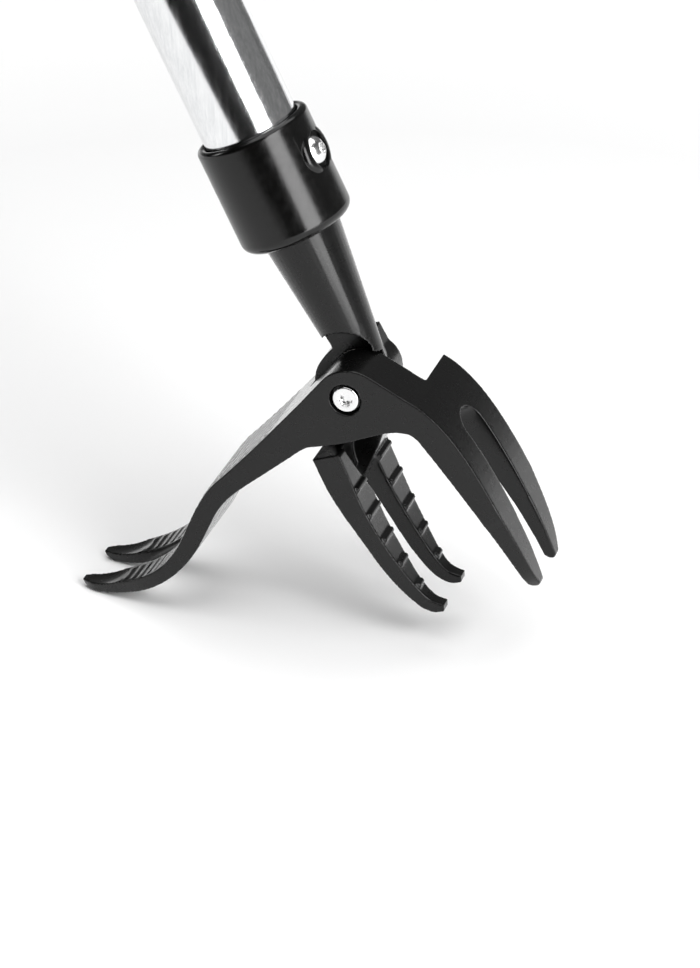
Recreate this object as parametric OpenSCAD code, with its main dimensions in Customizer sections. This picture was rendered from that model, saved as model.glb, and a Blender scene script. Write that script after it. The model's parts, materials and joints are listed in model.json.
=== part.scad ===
// Stand-up weed puller: a straight pole with a foot-lever claw at its lower end.
// The claw is laid out about its pivot, whose axis runs along Y.  X points from the
// foot lever to the fork, Z is up, and "near" means the -Y side.  At the end the
// whole tool is lifted so that the tips of the foot lever rest on z = 0, and it is
// shifted so that x = 0 is halfway between the fork's tips and the top of the pole.

/* [Pole] */
// Outer diameter of the pole tube
pole_d = 30; // [29.5:0.1:30.5]
// Wall thickness of the pole tube
pole_wall = 1.3; // [1.2:0.1:1.6]
// Length of the pole tube
pole_length = 875; // [600:5:1100]
// Lean of the pole from the vertical, in degrees
pole_lean = 26; // [25:0.5:27]
// How far the pole's axis passes in front of the pivot, at the pivot's height
pole_x = 2.2; // [1.8:0.1:2.6]

/* [Collar] */
// Outer diameter of the collar that joins the claw to the pole
collar_d = 36.2; // [36:0.1:37]
// Height of the collar
collar_h = 35.2; // [34:0.2:36]
// Distance of the collar's lower edge from the pivot's height, along the pole
collar_s = 51.5; // [51:0.5:53]
// Diameter of the raised boss round the collar screw
boss_d = 17.4; // [17:0.1:18]
// Distance of the collar screw above the collar's lower edge
collar_screw_h = 21.8; // [21:0.2:22.4]

/* [Claw] */
// Width of the claw across both of its sides
claw_w = 36; // [35:0.5:36]
// Thickness of the fixed lug that carries the pivot
lug_t = 10.5; // [10:0.1:10.5]
// Width of the gap between the two prongs of the foot lever, at its root
foot_slot_w = 8; // [7:0.5:9]
// Width of the gap between the two tines of the fork, at its root
fork_slot_w = 13; // [12:0.5:13.5]
// Width of the gap between the two fixed jaws, at its root
jaw_slot_w = 11; // [10:0.5:12]
// Number of gripping ridges on each fixed jaw
jaw_ridges = 5; // [3:1:5]
// Distance from one gripping ridge to the next
jaw_pitch = 9.6; // [9:0.1:9.8]
// Distance from one anti-slip rib of the foot lever to the next
rib_pitch = 3.2; // [3:0.1:5]

/* [Pivot] */
// Diameter of the pivot screw
screw_d = 5; // [4.8:0.1:5]
// Outer diameter of the bushing that the rocker turns on
bushing_d = 7; // [7:0.1:7.4]
// Head diameter of the pivot screw
head_d = 8.4; // [8.2:0.1:8.8]

/* [Grip] */
// Outer diameter of the rubber grip
grip_d = 34; // [33.5:0.5:35]
// Length of the rubber grip
grip_length = 130; // [100:5:160]
// Diameter of the hanging hole in the end cap
hang_d = 9; // [8:0.5:10]

/* [Hidden] */

$fn = 64;
cut = 1;                    // how far a cutter runs past the face it opens
slide_gap = 0.05;           // radial running clearance of the rocker on its bushing
seat_gap = 0.03;            // radial clearance between pieces that are fixed together

half_w = claw_w / 2;
pole_r = pole_d / 2;
bore_r = pole_r - pole_wall;
tang_r = bore_r - 0.1;
lip_h = 3;                  // ledge in the collar that carries the tube's end
tube_s = collar_s + lip_h;  // distance of the tube's lower end along the pole
tube_top = tube_s + pole_length;
tang_h = 32.5;              // length of the tang above the collar's lower edge
collar_r = collar_d / 2;
screw_seat = 16.4;          // distance of the collar screw's seat from the pole's axis

// Places across the claw, from the near face to the lock nut
washer_t = 1.1;
ear_back = -washer_t - 0.1;        // far face of the rocker's ear
head_h = 2.2;
head_sink = 0.2;                   // depth of the screw head below the near face
seat_y = -half_w + head_sink + head_h;
flat_t = 1;
nut_y = lug_t + flat_t;
nut_h = 3.9;
nut_ring_h = 1.1;
screw_end = nut_y + nut_h + nut_ring_h + 0.8;

// The end cap is a dome whose centre is cap_s along the pole
grip_r = grip_d / 2;
cap_rim_h = 6;
cap_s = tube_top + cap_rim_h;
cap_r = grip_r - 1.5;

// Height of the pivot above the ground, and the shift that centres the tool
fork_tip = [61.3, -57.2];
foot_heel = [-88.5, -86];
pivot_z = -foot_heel[1];
left_x = pole_x - cap_s * sin(pole_lean) - cap_r;
pivot_x = -(fork_tip[0] + left_x) / 2;

// ---- Curves -------------------------------------------------------------------

// A point of the smooth curve through the points p, between p[i] and p[i + 1]
function curve_point(p, i, t) =
    let (a = p[max(i - 1, 0)], b = p[i], c = p[i + 1], d = p[min(i + 2, len(p) - 1)])
    (2 * b + (c - a) * t + (2 * a - 5 * b + 4 * c - d) * t * t
     + (3 * b - 3 * c + d - a) * t * t * t) / 2;

// A smooth curve through the points p, with n steps from each to the next
function curve(p, n = 4) = [
    for (i = [0 : len(p) - 2]) for (k = [0 : n - 1]) curve_point(p, i, k / n),
    p[len(p) - 1]
];

// An arc about the point c
function arc(c, r, from, to, n = 8) = [
    for (k = [0 : n]) let (a = from + (to - from) * k / n) c + r * [cos(a), sin(a)]
];

// The distance along p of each of its points
function distances(p, i = 0, s = 0) = i == len(p) - 1 ? [s]
    : concat([s], distances(p, i + 1, s + norm(p[i + 1] - p[i])));

// The point at distance d along p
function along(p, d) =
    let (s = distances(p))
    [for (axis = [0, 1]) lookup(d, [for (i = [0 : len(p) - 1]) [s[i], p[i][axis]]])];

// The points of p mirrored in the first axis, in the opposite order
function mirrored(p) = [for (i = [len(p) - 1 : -1 : 0]) [p[i][0], -p[i][1]]];

// ---- Side outlines, as [x, z] about the pivot ----------------------------------

// Top of the rocker, from the foot's tip over the pivot to the fork's tip
lever_top = [
    [-92, -83], [-85.5, -81.8], [-78.5, -79.6], [-72, -76.9], [-66.5, -73.5],
    [-61.8, -69.4], [-57.8, -64.2], [-54.8, -58.5], [-52, -51.8], [-49, -45.2],
    [-45, -38.4], [-38.5, -31.2], [-31, -22.8], [-22.5, -12.8], [-15, -3.8]
];
fork_top = [
    [-9.8, 2.7], [-5.8, 7.3], [-0.5, 9.8], [5, 9.6], [11, 6.9], [18, 3.3], [24.5, 0],
    [31, -5.4], [37, -12.3], [43, -21], [49, -31], [54.3, -41], [58.3, -49.6], fork_tip
];
// Underside of the rocker, from the fork's tip back to the foot's heel
fork_under = [
    [57.6, -58], [53.8, -50.9], [48.5, -42.3], [42.9, -34.4], [37.1, -27.1],
    [31.3, -20], [25.6, -13.3], [22.3, -9.8], [19, -8.6], [13.5, -9.4], [7, -11.9],
    [0, -14.9], [-8.5, -17.5], [-13.2, -19]
];
lever_under = [
    [-18.8, -23.6], [-26, -29.7], [-33, -35.6], [-38.5, -40.8], [-42.6, -46.5],
    [-46, -53.8], [-49.9, -61.9], [-54.6, -68.8], [-60.2, -74.5], [-66.8, -79.2],
    [-74, -82.5], [-81, -84.6], foot_heel
];
lever_curve = curve(lever_top);

// Toothed side of a fixed jaw, from its shoulder to its tip, and its back
jaw_shoulder = [-10.7, -22.4];
jaw_front = [
    [-1.8, -20], [1.3, -26.8], [4.3, -34], [7.6, -41], [11.2, -47.9], [15, -54.3],
    [19, -60.6], [22.6, -65.7], [26.4, -69.3], [30.5, -70.4]
];
jaw_back = [
    [30.6, -72.7], [27, -73.6], [22.9, -72.2], [18.7, -68.6], [14.6, -63.8],
    [10.6, -58.1], [6.6, -51.7], [2.4, -45.1], [-1.9, -38.8], [-6.2, -31.9]
];
jaw_curve = curve(jaw_front);

// Lug and column of the jaw casting: its left side, from the neck down, and its right
lug_r = 9.8;
column_left = [
    [-6, 12], [-10.6, 7], [-13.4, 3.3], [-15.1, 0.1], [-15.8, -3.7], [-15.2, -9.5],
    [-13.2, -16], jaw_shoulder
];
column_right = [[0, -36], [2.4, -30.5], [5.2, -24], [7.2, -17], [9.2, -9.5]];

// Space round the pivot that the far half of the rocker leaves free, and the
// straight stop that meets the column when the claw is fully open
hub_free_r = 17.3;
far_start = 20.5;
far_stop = [[-16.7, -6], [-15.9, -10], [-13.8, -16.4], [-11.4, -22.6], [-11.4, -34]];

// Round pocket in the near half of the neck, and the space its ear turns in
pocket_c = [-4.1, 8.8];
pocket_r = 8.7;
ear_free_r = 11.5;

// ---- Widths across the claw, as [distance, half width] -------------------------

// The foot's two prongs, from their crotch towards the tips
foot_root = [-61, -67.3];
foot_angle = 207;
foot_edge = [[0, 18], [6, 17.7], [13, 16.8], [20, 15.4], [27, 14.1], [32, 12.8], [35, 11]];
foot_slot = [[4, 4], [12, 4.3], [20, 5.1], [27, 6], [33, 7.4], [36, 8.4]];

// The fork's two tines, from its shoulder to its tips
fork_root = [21, 2.5];
fork_angle = -56;
fork_edge = [[0, 18], [40, 18], [48, 17.4], [56, 16.3], [64, 14.8], [69, 13], [73, 10.4]];
fork_slot = [[20, 6.5], [40, 6.5], [60, 6.8], [80, 7.6]];

// The two fixed jaws, from their shoulder to their tips
jaw_root = [-2, -20];
jaw_angle = -57;
jaw_edge = [[0, 18], [14, 18], [23, 17.5], [31, 16.5], [38, 15.5], [45, 14.2], [52, 12.8],
    [57, 12.1], [66, 11.7]];
jaw_slot = [[15, 5.5], [24, 5.9], [38, 6.6], [52, 7.1], [70, 7.4]];

// Shallow dish in the top of each foot prong
dish_r = 22;
dish_depth = 0.9;
dish_at = [-84, -81.3];
dish_y = 10.2;

// Anti-slip ribs of the lever and gripping ridges of the jaws
rib_from = 17;
rib_w = 1.6;
rib_h = 0.25;
ridge_from = 12.4;
ridge_w = 2.1;
ridge_h = 1.1;
rib_inset = 1.6;            // how far the ribs stop short of the lever's edges
ridge_inset = 0.9;          // how far the ridges stop short of the jaws' edges
prism_h = 400;              // height of the prisms that trim the claw to its plan

// ---- Helpers -------------------------------------------------------------------

// Raises an [x, z] outline into a plate between two places across the claw
module plate(y0, y1) {
    translate([0, y1, 0])
        rotate([90, 0, 0])
            linear_extrude(height = y1 - y0)
                children();
}

// Stands an outline drawn as [distance, y] upright on a line through root
module plan_prism(root, angle) {
    translate([root[0], 0, root[1]])
        rotate([0, -angle, 0])
            linear_extrude(height = prism_h, center = true)
                children();
}

// Plan of a two-pronged piece: the outer edges, less the round-ended gap
module prong_plan(edge, slot, root_w, inset = 0) {
    reach = 150;
    outer = [for (p = curve(edge)) [p[0], p[1] * half_w / 18 - inset]];
    gap = root_w / (2 * slot[0][1]);
    inner = [for (p = curve(slot)) [p[0], p[1] * gap + inset]];
    difference() {
        polygon(concat([[-reach, half_w - inset]], outer, mirrored(outer),
            [[-reach, inset - half_w]]));
        polygon(concat(inner, mirrored(inner)));
        translate([slot[0][0], 0])
            circle(r = root_w / 2 + inset);
    }
}

// Low bars that stand across an outline, one every pitch
module bars(outline, from, pitch, count, w, h) {
    for (k = [0 : count - 1]) {
        here = along(outline, from + k * pitch);
        next = along(outline, from + k * pitch + 0.5);
        slope = atan2(next[1] - here[1], next[0] - here[0]);
        translate(here)
            rotate(slope)
                polygon([[-w / 2, -h], [-w / 2, h * 0.4], [-w / 4, h], [w / 4, h],
                    [w / 2, h * 0.4], [w / 2, -h]]);
    }
}

// Places its children on the pole's axis, at a distance from the pivot's height
module on_pole(s = 0) {
    translate([pole_x, 0, 0])
        rotate([0, -pole_lean, 0])
            translate([0, 0, s])
                children();
}

// Places its children on the pivot axis, turned to run from y upwards
module on_pivot(y) {
    translate([0, y, 0])
        rotate([-90, 0, 0])
            children();
}

// Stands the finished tool on the ground, centred
module placed() {
    translate([pivot_x, 0, pivot_z])
        children();
}

// Raises a [y, z] outline along the claw, from x = from
module across(from, length) {
    translate([from, 0, 0])
        rotate([90, 0, 90])
            linear_extrude(height = length)
                children();
}

module ring(outer, inner, h) {
    difference() {
        cylinder(r = outer, h = h);
        translate([0, 0, -cut])
            cylinder(r = inner, h = h + 2 * cut);
    }
}

// ---- Claw ----------------------------------------------------------------------

module rocker_outline() {
    polygon(concat(
        curve(concat(lever_top, fork_top)),
        [[60.6, -58.4], [59.2, -58.7]],
        curve(concat(fork_under, lever_under)),
        [[-91.3, -84.6]]
    ));
}

module rocker_far_outline() {
    difference() {
        rocker_outline();
        circle(r = hub_free_r);
        polygon(concat([[-14, 12]], far_stop, [[far_start, -34], [far_start, 12]]));
    }
}

module claw_rocker() {
    rib_count = floor((distances(lever_curve)[len(lever_curve) - 1] - rib_from - 12) / rib_pitch);
    color([0.06, 0.06, 0.06])
    placed()
    difference() {
        union() {
            intersection() {
                union() {
                    plate(-half_w, ear_back)
                        rocker_outline();
                    plate(ear_back - 0.01, half_w)
                        rocker_far_outline();
                }
                plan_prism(foot_root, foot_angle)
                    prong_plan(foot_edge, foot_slot, foot_slot_w);
                plan_prism(fork_root, fork_angle)
                    prong_plan(fork_edge, fork_slot, fork_slot_w);
            }
            intersection() {
                plate(-half_w + rib_inset, half_w - rib_inset)
                    bars(lever_curve, rib_from, rib_pitch, rib_count, rib_w, rib_h);
                plan_prism(foot_root, foot_angle)
                    prong_plan(foot_edge, foot_slot, foot_slot_w, rib_inset);
            }
        }
        for (side = [-1, 1])
            translate([dish_at[0] - sin(14) * (dish_r - dish_depth), side * dish_y,
                    dish_at[1] + cos(14) * (dish_r - dish_depth)])
                sphere(r = dish_r);
        on_pivot(-half_w - cut)
            cylinder(r = head_d / 2 + 0.9, h = cut + head_sink + head_h + 0.1);
        on_pivot(-half_w - cut)
            cylinder(r = bushing_d / 2 + slide_gap, h = claw_w);
    }
}

module jaw_outline() {
    polygon(concat([jaw_shoulder, [-2.6, -19.5]], jaw_curve, curve(jaw_back)));
}

module column_outline() {
    polygon(concat(
        curve(column_left), [[-6.2, -31.9]], column_right,
        arc([0, 0], lug_r, -12, 58, 14), [[2, 14]]
    ));
}

// Web that spreads from the lug's sides out to the jaws, drawn in [y, z]
module web_section() {
    near = curve([[0, -16.5], [-0.7, -19], [-2.4, -20.6], [-5, -21.4], [-5, -37]]);
    far = curve([[half_w - 2, -37], [half_w - 2.4, -31], [15, -27], [12.2, -22.5],
        [lug_t, -17.6]]);
    polygon(concat(near, far));
}

module jaw_web() {
    intersection() {
        plate(-half_w, half_w)
            column_outline();
        across(-20, 40)
            web_section();
    }
}

// Groove between the near jaw and the column, which widens towards the top
module jaw_groove() {
    intersection() {
        plate(-half_w, 0)
            polygon(concat(curve([[-2, -14], [-3.2, -20], [-3, -27], [-0.5, -33], [4, -38]]),
                [[14, -38], [14, -14]]));
        across(-20, 40)
            polygon(concat(curve([[-12.6, -14], [-12.4, -20], [-11, -25.5], [-8.5, -31],
                [-5.5, -37]]), [[0, -37], [0, -14]]));
    }
}

// Cone that rises from the pivot's lug, and the tang on top of it inside the tube
module neck() {
    foot_s = 4;
    foot_r = 7.15;
    top_r = 12.55;
    cone_x = 0.45;          // the cone stands this far in front of the pole's axis
    cone_top = collar_s + 0.5;
    tang_top = collar_s + tang_h;
    chamfer = 1.2;
    on_pole(foot_s)
        translate([cone_x, 0, 0])
            rotate(45)
                cylinder(r1 = foot_r, r2 = top_r, h = cone_top - foot_s);
    on_pole()
        rotate(45)
            rotate_extrude()
                polygon([[0, collar_s + 0.2], [tang_r, collar_s + 0.2],
                    [tang_r, tang_top - chamfer], [tang_r - chamfer, tang_top],
                    [0, tang_top]]);
}

module jaw_casting() {
    core_r = 6;
    core_s = collar_s + 10;
    color([0.06, 0.06, 0.06])
    placed()
    difference() {
        union() {
            difference() {
                neck();
                plate(-half_w, 0) {
                    translate(pocket_c)
                        circle(r = pocket_r);
                    circle(r = ear_free_r);
                }
            }
            plate(0, lug_t)
                column_outline();
            intersection() {
                union() {
                    plate(-half_w, half_w)
                        jaw_outline();
                    jaw_web();
                }
                plan_prism(jaw_root, jaw_angle)
                    prong_plan(jaw_edge, jaw_slot, jaw_slot_w);
            }
            intersection() {
                plate(-half_w + ridge_inset, half_w - ridge_inset)
                    bars(jaw_curve, ridge_from, jaw_pitch, jaw_ridges, ridge_w, ridge_h);
                plan_prism(jaw_root, jaw_angle)
                    prong_plan(jaw_edge, jaw_slot, jaw_slot_w, ridge_inset);
            }
        }
        on_pole(core_s)
            cylinder(r = core_r, h = tang_h);
        on_pole(collar_s + collar_screw_h)
            rotate([0, 90, 0])
                cylinder(r = screw_d / 2 + seat_gap, h = collar_r);
        on_pivot(-cut)
            cylinder(r = screw_d / 2 + 0.1, h = lug_t + 2 * cut);
        jaw_groove();
    }
}

// ---- Pivot ---------------------------------------------------------------------

// Six-lobed star recess
module star(r, h) {
    cylinder(r = r * 0.74, h = h);
    for (k = [0 : 5])
        rotate(60 * k)
            translate([r * 0.72, 0, 0])
                cylinder(r = r * 0.28, h = h, $fn = 24);
}

module pivot_screw() {
    head_r = head_d / 2;
    color([0.8, 0.8, 0.8])
    placed()
    difference() {
        on_pivot(-half_w + head_sink)
            rotate_extrude()
                polygon(concat([[0, 0]], arc([head_r - 0.5, 0.5], 0.5, -90, 0),
                    [[head_r, head_h], [screw_d / 2, head_h],
                     [screw_d / 2, screw_end - seat_y + head_h - 0.6],
                     [screw_d / 2 - 0.6, screw_end - seat_y + head_h],
                     [0, screw_end - seat_y + head_h]]));
        on_pivot(-half_w + head_sink - cut)
            star(2.3, cut + 1.5);
    }
}

module pivot_bushing() {
    color([0.7, 0.6, 0.35])
    placed()
    on_pivot(seat_y)
        ring(bushing_d / 2, screw_d / 2 + seat_gap, -seat_y);
}

module wear_washer() {
    color([0.85, 0.84, 0.8])
    placed()
    on_pivot(-washer_t)
        ring(9, bushing_d / 2 + seat_gap, washer_t);
}

module flat_washer() {
    color([0.75, 0.75, 0.75])
    placed()
    on_pivot(lug_t)
        ring(5, screw_d / 2 + 0.15, flat_t);
}

module lock_nut() {
    across_flats = 8;
    color([0.75, 0.75, 0.75])
    placed()
    difference() {
        union() {
            on_pivot(nut_y)
                cylinder(r = across_flats / sqrt(3), h = nut_h, $fn = 6);
            on_pivot(nut_y + nut_h)
                cylinder(r = 3.7, h = nut_ring_h);
        }
        on_pivot(nut_y - cut)
            cylinder(r = screw_d / 2 + seat_gap, h = nut_h + 2 * cut);
        on_pivot(nut_y + nut_h)
            cylinder(r = 3.3, h = nut_ring_h + cut);
    }
}

module lock_nut_ring() {
    color([0.2, 0.35, 0.7])
    placed()
    on_pivot(nut_y + nut_h)
        ring(3.3 - seat_gap, screw_d / 2 + seat_gap, nut_ring_h - 0.2);
}

// ---- Pole ----------------------------------------------------------------------

module pole_tube() {
    color([0.8, 0.81, 0.82])
    placed()
    difference() {
        on_pole(tube_s)
            ring(pole_r, bore_r, pole_length);
        on_pole(collar_s + collar_screw_h)
            rotate([0, 90, 0])
                cylinder(r = screw_d / 2 + 0.3, h = collar_r);
    }
}

module collar_body() {
    heel_r = 3.5;
    lip_r = 1.6;
    rotate_extrude($fn = 96)
        polygon(concat(
            [[0, 0]],
            arc([collar_r - heel_r, heel_r], heel_r, -90, 0),
            arc([collar_r - lip_r, collar_h - lip_r], lip_r, 0, 130),
            [[collar_r - 2.6, collar_h - 3], [0, collar_h - 3]]
        ));
}

module socket_collar() {
    boss_x = 17.8;
    rim_r = 2.2;
    boss_r = boss_d / 2;
    color([0.05, 0.05, 0.05])
    placed()
    on_pole(collar_s)
    difference() {
        union() {
            collar_body();
            translate([0, 0, collar_screw_h])
                rotate([0, 90, 0])
                    rotate_extrude()
                        polygon(concat([[0, 0], [boss_r, 0]],
                            arc([boss_r - rim_r, boss_x - rim_r], rim_r, 0, 90),
                            [[0, boss_x]]));
        }
        translate([0, 0, lip_h])
            cylinder(r = pole_r + seat_gap, h = collar_h);
        translate([0, 0, -cut])
            cylinder(r = tang_r + seat_gap, h = lip_h + 2 * cut);
        translate([screw_seat, 0, collar_screw_h])
            rotate([0, 90, 0])
                cylinder(r = 5.9, h = 10);
        translate([0, 0, collar_screw_h])
            rotate([0, 90, 0])
                cylinder(r = screw_d / 2 + 0.2, h = 20);
    }
}

module collar_screw() {
    dome_h = 2.7;
    shank = 12;
    color([0.8, 0.8, 0.8])
    placed()
    on_pole(collar_s + collar_screw_h)
    translate([screw_seat, 0, 0])
    rotate([0, 90, 0])
    difference() {
        rotate_extrude()
            polygon(concat(
                [[0, -shank], [screw_d / 2 - 0.5, -shank], [screw_d / 2, -shank + 0.5],
                 [screw_d / 2, 0], [4.5, 0], [4.85, 0.3]],
                arc([0, -3], 5.85, 35, 70),
                [[1.9, dome_h], [0, dome_h]]
            ));
        translate([0, 0, dome_h - 1.6])
            cylinder(r = 3 / sqrt(3), h = 1.6 + cut, $fn = 6);
    }
}

module grip_ring() {
    ring_h = 4;
    color([0.05, 0.05, 0.05])
    placed()
    on_pole(tube_top - grip_length - ring_h)
        rotate_extrude($fn = 96)
            polygon(concat(
                [[pole_r + seat_gap, 0]],
                arc([grip_r - 0.6, 1], 1, -90, 0),
                [[grip_r + 0.4, ring_h], [pole_r + seat_gap, ring_h]]
            ));
}

module grip_sleeve() {
    grooves = 12;
    groove_d = 0.6;
    step = grip_length / (grooves + 1);
    color([0.08, 0.08, 0.08])
    placed()
    on_pole(tube_top - grip_length)
        rotate_extrude($fn = 96)
            polygon(concat(
                [[pole_r + seat_gap, 0], [grip_r, 0]],
                [for (k = [1 : grooves]) for (p = [[0, -1.4], [-groove_d, -0.7],
                    [-groove_d, 0.7], [0, 1.4]]) [grip_r + p[0], k * step + p[1]]],
                [[grip_r, grip_length], [pole_r + seat_gap, grip_length]]
            ));
}

module end_cap() {
    spigot_h = 24;
    tab_w = 14;
    hole_h = 6.5;
    color([0.05, 0.05, 0.05])
    placed()
    on_pole(tube_top)
    difference() {
        union() {
            translate([0, 0, -spigot_h])
                cylinder(r = tang_r, h = spigot_h + cut);
            cylinder(r = cap_r, h = cap_rim_h, $fn = 96);
            translate([0, 0, cap_rim_h])
                sphere(r = cap_r, $fn = 96);
        }
        for (side = [-1, 1])
            translate([-cap_r - cut, side > 0 ? tab_w / 2 : -tab_w / 2 - 20, cap_rim_h])
                cube([2 * cap_r + 2 * cut, 20, cap_r + cut]);
        difference() {
            translate([0, 0, -spigot_h - cut])
                cylinder(r = bore_r + 10, h = spigot_h + cut);
            translate([0, 0, -spigot_h - 2 * cut])
                cylinder(r = tang_r, h = spigot_h + 4 * cut);
        }
        translate([0, 0, -spigot_h - cut])
            cylinder(r = tang_r - 2.5, h = spigot_h);
        translate([0, -tab_w, cap_rim_h + hole_h])
            rotate([-90, 0, 0])
                cylinder(r = hang_d / 2, h = 2 * tab_w);
    }
}

pole_tube();
socket_collar();
collar_screw();
jaw_casting();
claw_rocker();
pivot_screw();
pivot_bushing();
wear_washer();
flat_washer();
lock_nut();
lock_nut_ring();
grip_ring();
grip_sleeve();
end_cap();
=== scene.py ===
import json
import math

import bpy
from mathutils import Matrix, Vector

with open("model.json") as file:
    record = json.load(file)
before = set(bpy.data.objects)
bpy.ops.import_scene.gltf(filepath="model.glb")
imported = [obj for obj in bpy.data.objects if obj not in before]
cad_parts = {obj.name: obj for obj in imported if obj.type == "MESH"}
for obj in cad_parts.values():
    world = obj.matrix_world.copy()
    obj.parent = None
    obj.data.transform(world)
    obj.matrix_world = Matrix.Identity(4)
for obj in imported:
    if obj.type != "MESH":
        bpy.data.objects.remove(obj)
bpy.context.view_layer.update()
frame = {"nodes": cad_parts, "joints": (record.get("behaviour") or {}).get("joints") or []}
nodes = frame["nodes"]
MM = 0.001

pivot = Vector(frame["joints"][0]["pos_m"])
LEAN = math.radians(26)     # of the pole, from the vertical towards -X


# ---- Camera ----------------------------------------------------------------------

def make_camera():
    """A long lens that looks down at the claw from the front right."""
    azimuth, elevation = math.radians(18), math.radians(28.5)
    distance, aside, below = 1034.87 * MM, 1.522 * MM, 25.476 * MM
    focal_pixels, image_height, sensor = 3400, 968, 36
    right = Vector((math.cos(azimuth), math.sin(azimuth), 0))
    back = Vector((math.sin(azimuth) * math.cos(elevation),
                   -math.cos(azimuth) * math.cos(elevation),
                   math.sin(elevation)))
    up = back.cross(right)
    near_face = pivot + Vector((0, -18 * MM, 0))
    place = near_face + aside * right - below * up + distance * back
    data = bpy.data.cameras.new("camera")
    data.sensor_width = sensor
    data.lens = focal_pixels * sensor / image_height
    data.clip_start = 0.05
    data.clip_end = 50
    camera = bpy.data.objects.new("camera", data)
    camera.matrix_world = Matrix((
        (right.x, up.x, back.x, place.x),
        (right.y, up.y, back.y, place.y),
        (right.z, up.z, back.z, place.z),
        (0, 0, 0, 1)))
    bpy.context.scene.collection.objects.link(camera)
    bpy.context.scene.camera = camera


# ---- Materials -------------------------------------------------------------------

class Graph:
    """A short way of writing a material's nodes."""

    def __init__(self, name):
        self.material = bpy.data.materials.new(name)
        self.material.use_nodes = True
        self.tree = self.material.node_tree
        self.shader = self.tree.nodes["Principled BSDF"]
        self.coords = self.tree.nodes.new("ShaderNodeTexCoord").outputs["Object"]

    def put(self, kind, inputs, **settings):
        node = self.tree.nodes.new(kind)
        for key, value in settings.items():
            setattr(node, key, value)
        for key, value in inputs.items():
            if isinstance(value, bpy.types.NodeSocket):
                self.tree.links.new(value, node.inputs[key])
            else:
                node.inputs[key].default_value = value
        return node

    def set(self, key, value):
        if isinstance(value, bpy.types.NodeSocket):
            self.tree.links.new(value, self.shader.inputs[key])
        else:
            self.shader.inputs[key].default_value = value

    def noise(self, scale, detail=2.0, vector=None):
        return self.put("ShaderNodeTexNoise", {
            "Vector": vector or self.coords, "Scale": scale,
            "Detail": detail}).outputs["Fac"]

    def fit(self, value, low, high, to_low, to_high):
        return self.put("ShaderNodeMapRange", {
            "Value": value, "From Min": low, "From Max": high,
            "To Min": to_low, "To Max": to_high}).outputs["Result"]

    def tint(self, value, dark, light):
        mix = self.put("ShaderNodeMix", {"Factor": value}, data_type="RGBA")
        mix.inputs["A"].default_value = (*dark, 1)
        mix.inputs["B"].default_value = (*light, 1)
        return mix.outputs["Result"]

    def bump(self, height, strength, distance, normal=None):
        inputs = {"Height": height, "Strength": strength, "Distance": distance}
        if normal is not None:
            inputs["Normal"] = normal
        return self.put("ShaderNodeBump", inputs).outputs["Normal"]

    def stretched(self, scale, rotation):
        return self.put("ShaderNodeMapping", {
            "Vector": self.coords, "Scale": scale, "Rotation": rotation}).outputs["Vector"]


def powder_coat():
    """Satin black coat of the castings: fine orange peel, soft and slightly uneven gloss."""
    g = Graph("powder_coat")
    peel = g.noise(900)
    grain = g.noise(3800)
    cloud = g.noise(38, 3)
    g.set("Base Color", g.tint(cloud, (0.002, 0.002, 0.002), (0.004, 0.004, 0.0039)))
    g.set("Roughness", g.fit(g.noise(260, 4), 0.3, 0.7, 0.24, 0.33))
    g.set("Specular IOR Level", 0.12)
    g.set("Coat Weight", 1.0)
    g.set("Coat IOR", 1.3)
    g.set("Coat Roughness", 0.18)
    height = g.bump(peel, 0.06, 0.0004)
    g.set("Normal", g.bump(grain, 0.07, 0.0001, height))
    return g.material


def moulded(name, color, rough):
    """Moulded plastic with a fine spark-eroded texture."""
    g = Graph(name)
    dark = tuple(0.8 * c for c in color)
    g.set("Base Color", g.tint(g.noise(60, 3), dark, color))
    g.set("Roughness", g.fit(g.noise(500, 3), 0.3, 0.7, rough - 0.04, rough + 0.05))
    g.set("Specular IOR Level", 0.38)
    g.set("Normal", g.bump(g.noise(2600), 0.10, 0.0001))
    return g.material


def brushed_aluminium():
    """Drawn aluminium tube, brushed along its length."""
    g = Graph("brushed_aluminium")
    turn = (0, LEAN, 0)
    fine = g.noise(1, 3, g.stretched((5200, 5200, 26), turn))
    broad = g.noise(1, 2, g.stretched((900, 900, 5), turn))
    blend = g.put("ShaderNodeMath", {0: fine, 1: broad}, operation="ADD").outputs[0]
    g.set("Metallic", 1.0)
    g.set("Base Color", g.tint(g.fit(blend, 0.7, 1.3, 0, 1), (0.72, 0.73, 0.74),
                               (0.90, 0.905, 0.91)))
    g.set("Roughness", g.fit(blend, 0.7, 1.3, 0.10, 0.17))
    g.set("Normal", g.bump(blend, 0.10, 0.00012))
    return g.material


def plated(name, color, rough):
    """Bright plated metal with faint turning marks."""
    g = Graph(name)
    g.set("Metallic", 1.0)
    g.set("Base Color", g.tint(g.noise(700, 3), tuple(0.9 * c for c in color), color))
    g.set("Roughness", g.fit(g.noise(1500, 3), 0.3, 0.7, rough - 0.05, rough + 0.07))
    g.set("Normal", g.bump(g.noise(2600, 3), 0.15, 0.00008))
    return g.material


def rubber():
    g = Graph("grip_rubber")
    g.set("Base Color", g.tint(g.noise(80, 3), (0.012, 0.012, 0.012), (0.02, 0.02, 0.02)))
    g.set("Roughness", g.fit(g.noise(400, 4), 0.3, 0.7, 0.55, 0.72))
    g.set("Normal", g.bump(g.noise(1800, 3), 0.25, 0.0002))
    return g.material


# ---- Materials and edges of the carried-over pieces --------------------------------

def coat_and_weld(node, material):
    obj = nodes[node]
    obj.data.materials.clear()
    obj.data.materials.append(material)
    weld = obj.modifiers.new("weld", "WELD")
    weld.merge_threshold = 1e-6
    return obj


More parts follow.
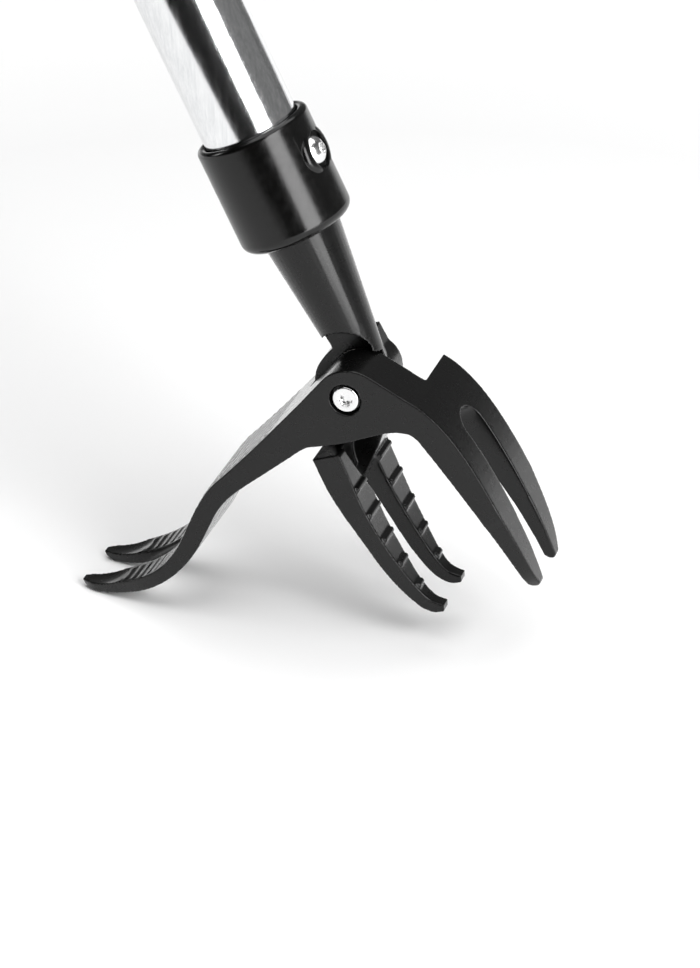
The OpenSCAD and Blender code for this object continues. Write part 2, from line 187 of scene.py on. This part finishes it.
def dress(node, material, bevel=0.0):
    """A turned or moulded piece.  Its sharp edges are bevelled where a width is given."""
    obj = coat_and_weld(node, material)
    for polygon in obj.data.polygons:
        polygon.use_smooth = True
    if bevel:
        edges = obj.modifiers.new("edges", "BEVEL")
        edges.width = bevel
        edges.segments = 2
        edges.limit_method = "ANGLE"
        edges.angle_limit = math.radians(32)
        edges.use_clamp_overlap = True
        edges.harden_normals = False
    normals = obj.modifiers.new("normals", "WEIGHTED_NORMAL")
    normals.keep_sharp = True
    normals.weight = 60


def dress_casting(node, material):
    """A cast and coated piece, with all its edges softly rounded."""
    obj = coat_and_weld(node, material)
    skin = obj.modifiers.new("skin", "REMESH")
    skin.mode = "VOXEL"
    skin.voxel_size = 0.3 * MM
    skin.use_smooth_shade = True
    edges = obj.modifiers.new("edges", "SMOOTH")
    edges.factor = 0.5
    edges.iterations = 8


def dress_all():
    coat = powder_coat()
    plastic = moulded("black_plastic", (0.002, 0.002, 0.0019), 0.2)
    fastener = plated("plated_steel", (0.86, 0.86, 0.86), 0.2)
    dress_casting("jaw_casting", coat)
    dress_casting("claw_rocker", coat)
    dress("socket_collar", plastic, 0.2 * MM)
    dress("end_cap", plastic, 0.4 * MM)
    dress("grip_ring", plastic)
    dress("grip_sleeve", rubber(), 0.3 * MM)
    dress("pole_tube", brushed_aluminium(), 0.15 * MM)
    for name in ("collar_screw", "pivot_screw", "flat_washer", "lock_nut"):
        dress(name, fastener, 0.08 * MM)
    dress("pivot_bushing", plated("bushing_brass", (0.78, 0.62, 0.33), 0.25))
    dress("wear_washer", moulded("natural_nylon", (0.72, 0.70, 0.64), 0.45), 0.1 * MM)
    dress("lock_nut_ring", moulded("blue_nylon", (0.05, 0.12, 0.38), 0.4))


# ---- Studio ----------------------------------------------------------------------

def make_floor():
    """Pale table top under the tool with a painted glow: its emission rises away from the
    claw, which leaves a painted soft shadow round the claw.

    Its front edge lies outside the camera's view.
    """
    left, right, front, back = -2.0, 3.0, -0.58, 4.5
    cells = 50
    painted_shadow_centre = (0.17, 0.0, 0.0)
    glow_start, glow_full = 0.4, 1.5
    points = [(left + (right - left) * i / cells, front + (back - front) * j / cells, 0)
              for j in range(cells + 1) for i in range(cells + 1)]
    row = cells + 1
    faces = [(j * row + i, j * row + i + 1, (j + 1) * row + i + 1, (j + 1) * row + i)
             for j in range(cells) for i in range(cells)]
    mesh = bpy.data.meshes.new("floor")
    mesh.from_pydata(points, [], faces)
    floor = bpy.data.objects.new("floor", mesh)
    bpy.context.scene.collection.objects.link(floor)
    g = Graph("pale_floor_painted_glow")
    g.set("Base Color", g.tint(g.noise(2), (0.90, 0.90, 0.90), (0.92, 0.92, 0.92)))
    g.set("Roughness", 0.8)
    # Painted glow and shadow: emission grows with distance from the claw, so the floor near
    # the claw stays dimmer, like a painted soft shadow.
    from_claw = g.put("ShaderNodeVectorMath", {0: g.coords, 1: painted_shadow_centre},
                      operation="DISTANCE").outputs["Value"]
    g.set("Emission Color", (1, 1, 1, 1))
    g.set("Emission Strength", g.fit(from_claw, glow_start, glow_full, 0.0, 1.0))
    mesh.materials.append(g.material)


def make_world():
    """White to the camera.  To all else, a dark room, greyer on the right and behind."""
    room_light, right_light, back_light = 0.012, 0.24, 0.18
    world = bpy.data.worlds.new("studio")
    world.use_nodes = True
    bpy.context.scene.world = world
    tree = world.node_tree
    link = tree.links.new
    direction = tree.nodes.new("ShaderNodeSeparateXYZ")
    link(tree.nodes.new("ShaderNodeTexCoord").outputs["Generated"], direction.inputs[0])

    def wall(axis, start, full, low, high):
        node = tree.nodes.new("ShaderNodeMapRange")
        for key, value in (("From Min", start), ("From Max", full), ("To Min", low),
                           ("To Max", high)):
            node.inputs[key].default_value = value
        link(direction.outputs[axis], node.inputs["Value"])
        return node.outputs["Result"]

    walls = tree.nodes.new("ShaderNodeMath")
    link(wall("X", 0.6, 0.9, room_light, right_light), walls.inputs[0])
    link(wall("Y", 0.35, 0.8, 0.0, back_light), walls.inputs[1])
    room = tree.nodes.new("ShaderNodeBackground")
    link(walls.outputs["Value"], room.inputs["Strength"])
    white = tree.nodes["Background"]
    white.inputs["Color"].default_value = (1, 1, 1, 1)
    white.inputs["Strength"].default_value = 1.0
    mix = tree.nodes.new("ShaderNodeMixShader")
    link(tree.nodes.new("ShaderNodeLightPath").outputs["Is Camera Ray"], mix.inputs[0])
    link(room.outputs[0], mix.inputs[1])
    link(white.outputs[0], mix.inputs[2])
    link(mix.outputs[0], tree.nodes["World Output"].inputs["Surface"])


def area_light(name, place, aim, size, radiance):
    """A rectangular lamp that the camera doesn't see itself."""
    data = bpy.data.lights.new(name, "AREA")
    data.shape = "RECTANGLE"
    data.size, data.size_y = size
    data.energy = radiance * math.pi * size[0] * size[1]
    lamp = bpy.data.objects.new(name, data)
    place, aim = Vector(place), Vector(aim)
    lamp.location = place
    lamp.rotation_euler = (aim - place).to_track_quat("-Z", "Y").to_euler()
    lamp.visible_camera = False
    bpy.context.scene.collection.objects.link(lamp)


def make_lights():
    """A ceiling softbox, a tall one at the front right and a small one on the left."""
    claw = Vector((0.16, 0, 0.12))
    to_side = Vector((0.839, -0.54, 0.063))
    to_left = Vector((-0.98, -0.1, 0.3))
    side_lift = Vector((0, 0, 0.25))
    area_light("overhead", (0.15, 0.05, 1.7), (0.15, 0.05, 0), (1.8, 2.2), 2.5)
    area_light("side", claw + 1.2 * to_side + side_lift, claw, (0.68, 1.5), 9)
    area_light("left", claw + 1.3 * to_left, claw, (0.35, 0.3), 6)


make_camera()
dress_all()
make_floor()
make_world()
make_lights()
bpy.context.scene.view_settings.view_transform = "Standard"
